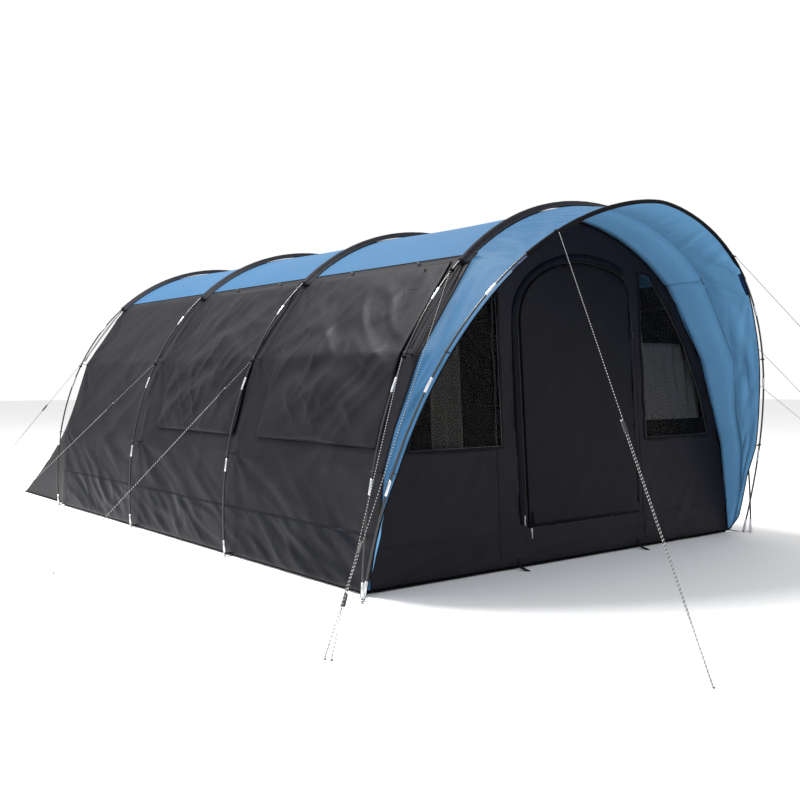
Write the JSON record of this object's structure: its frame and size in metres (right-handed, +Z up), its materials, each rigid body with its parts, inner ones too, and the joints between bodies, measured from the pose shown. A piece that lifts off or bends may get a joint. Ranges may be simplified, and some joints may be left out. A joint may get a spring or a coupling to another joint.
{
  "type": "tunnel tent",
  "caption": "Tunnel tent on bent poles with a porch canopy, zipped front door, windows with roll-up covers and guy ropes on sliding runners.",
  "frame": {"origin": "on the ground below the middle of the tent, ropes left out", "axes": "+Z up; the door and porch face -Y; +X is to the right of a person looking at the door; the tunnel runs along Y"},
  "size_m": [5.3044, 7.1067, 2.014],
  "materials": {
    "pole": "smooth fibreglass rod",
    "sleeve_fabric": "woven polyester",
    "blue_fabric": "coated woven polyester",
    "charcoal_fabric": "coated woven polyester",
    "black_fabric": "woven polyester",
    "groundsheet": "woven polyethylene",
    "clear_film": "clear flexible film",
    "rope": "braided cord with light flecks",
    "runner_plastic": "moulded plastic",
    "metal_fitting": "satin"
  },
  "bodies": {
    "tent_body": {"pole_rear": "pole", "pole_sleeve_rear": "sleeve_fabric", "pole_middle": "pole", "pole_sleeve_middle": "sleeve_fabric", "pole_second": "pole", "pole_sleeve_second": "sleeve_fabric", "pole_front": "pole", "pole_sleeve_front": "sleeve_fabric", "pole_porch": "pole", "pole_sleeve_porch": "sleeve_fabric", "roof": "blue_fabric", "canopy": "blue_fabric", "rear_wall": "charcoal_fabric", "groundsheet": "groundsheet", "side_wall_right": "charcoal_fabric", "side_window_right_front": "clear_film", "side_window_right_rear": "clear_film", "side_wall_left": "charcoal_fabric", "side_window_left_front": "clear_film", "side_window_left_rear": "clear_film", "front_wall_left": "black_fabric", "front_wall_right": "black_fabric", "front_wall_top": "black_fabric", "front_sill": "black_fabric", "door_zip_band": "black_fabric", "front_window_left": "clear_film", "front_window_right": "clear_film", "guy_rope_left_rear": "rope", "guy_rope_right_rear": "rope", "guy_rope_left_middle": "rope", "guy_rope_right_middle": "rope", "guy_rope_left_second": "rope", "guy_rope_right_second": "rope", "guy_rope_left_front_low": "rope", "guy_rope_right_front_low": "rope", "guy_rope_left_front_high": "rope", "guy_rope_right_front_high": "rope", "guy_rope_left_porch": "rope", "guy_rope_right_porch": "rope"},
    "cover_left_front": {"window_cover_left_front": "charcoal_fabric"},
    "cover_left_rear": {"window_cover_left_rear": "charcoal_fabric"},
    "cover_right_front": {"window_cover_right_front": "charcoal_fabric"},
    "cover_right_rear": {"window_cover_right_rear": "charcoal_fabric"},
    "door_panel": {"door": "black_fabric"},
    "side_slider": {"zip_slider_side": "metal_fitting"},
    "bottom_slider": {"zip_slider_bottom": "metal_fitting"},
    "runner_left_rear": {"rope_runner_left_rear": "runner_plastic"},
    "runner_right_rear": {"rope_runner_right_rear": "runner_plastic"},
    "runner_left_middle": {"rope_runner_left_middle": "runner_plastic"},
    "runner_right_middle": {"rope_runner_right_middle": "runner_plastic"},
    "runner_left_second": {"rope_runner_left_second": "runner_plastic"},
    "runner_right_second": {"rope_runner_right_second": "runner_plastic"},
    "runner_left_front_low": {"rope_runner_left_front_low": "runner_plastic"},
    "runner_right_front_low": {"rope_runner_right_front_low": "runner_plastic"},
    "runner_left_front_high": {"rope_runner_left_front_high": "runner_plastic"},
    "runner_right_front_high": {"rope_runner_right_front_high": "runner_plastic"},
    "runner_left_porch": {"rope_runner_left_porch": "runner_plastic"},
    "runner_right_porch": {"rope_runner_right_porch": "runner_plastic"}
  },
  "joints": [
    {"name": "door_swing", "type": "hinge", "parent": "tent_body", "child": "door_panel", "pos_m": [0.57575, -2.30287, 0.79805], "axis": [0, 0.0698, 0.9976], "range_deg": [0, 90]},
    {"name": "cover_left_front_lift", "type": "hinge", "parent": "tent_body", "child": "cover_left_front", "pos_m": [-0.969, -1.79773, 1.6245], "axis": [0, 1, 0], "range_deg": [0, 110]},
    {"name": "cover_left_rear_lift", "type": "hinge", "parent": "tent_body", "child": "cover_left_rear", "pos_m": [-0.969, -0.42823, 1.6245], "axis": [0, 1, 0], "range_deg": [0, 110]},
    {"name": "cover_right_front_lift", "type": "hinge", "parent": "tent_body", "child": "cover_right_front", "pos_m": [0.969, -1.79773, 1.6245], "axis": [0, -1, 0], "range_deg": [0, 110]},
    {"name": "cover_right_rear_lift", "type": "hinge", "parent": "tent_body", "child": "cover_right_rear", "pos_m": [0.969, -0.42823, 1.6245], "axis": [0, -1, 0], "range_deg": [0, 110]},
    {"name": "zip_side_run", "type": "slide", "parent": "tent_body", "child": "side_slider", "axis": [0, 0.0698, 0.9976], "range_m": [0, 1.04]},
    {"name": "zip_bottom_run", "type": "slide", "parent": "tent_body", "child": "bottom_slider", "axis": [1, 0, 0], "range_m": [0, 0.9]},
    {"name": "runner_left_rear_slide", "type": "slide", "parent": "tent_body", "child": "runner_left_rear", "axis": [0.6367, -0.0117, 0.771], "range_m": [0, 0.12]},
    {"name": "runner_right_rear_slide", "type": "slide", "parent": "tent_body", "child": "runner_right_rear", "axis": [-0.6367, -0.0117, 0.771], "range_m": [0, 0.12]},
    {"name": "runner_left_middle_slide", "type": "slide", "parent": "tent_body", "child": "runner_left_middle", "axis": [0.7017, -0.1375, 0.6991], "range_m": [0, 0.12]},
    {"name": "runner_right_middle_slide", "type": "slide", "parent": "tent_body", "child": "runner_right_middle", "axis": [-0.7017, -0.1375, 0.6991], "range_m": [0, 0.12]},
    {"name": "runner_left_second_slide", "type": "slide", "parent": "tent_body", "child": "runner_left_second", "axis": [0.7058, -0.0634, 0.7056], "range_m": [0, 0.12]},
    {"name": "runner_right_second_slide", "type": "slide", "parent": "tent_body", "child": "runner_right_second", "axis": [-0.7058, -0.0634, 0.7056], "range_m": [0, 0.12]},
    {"name": "runner_left_front_low_slide", "type": "slide", "parent": "tent_body", "child": "runner_left_front_low", "axis": [0.5485, 0.4258, 0.7197], "range_m": [0, 0.12]},
    {"name": "runner_right_front_low_slide", "type": "slide", "parent": "tent_body", "child": "runner_right_front_low", "axis": [-0.7336, 0.3461, 0.5849], "range_m": [0, 0.12]},
    {"name": "runner_left_front_high_slide", "type": "slide", "parent": "tent_body", "child": "runner_left_front_high", "axis": [0.5719, 0.3124, 0.7585], "range_m": [0, 0.12]},
    {"name": "runner_right_front_high_slide", "type": "slide", "parent": "tent_body", "child": "runner_right_front_high", "axis": [-0.7166, 0.2656, 0.6449], "range_m": [0, 0.12]},
    {"name": "runner_left_porch_slide", "type": "slide", "parent": "tent_body", "child": "runner_left_porch", "axis": [0.2965, 0.5738, 0.7634], "range_m": [0, 0.12]},
    {"name": "runner_right_porch_slide", "type": "slide", "parent": "tent_body", "child": "runner_right_porch", "axis": [-0.2965, 0.5738, 0.7634], "range_m": [0, 0.12]}
  ]
}
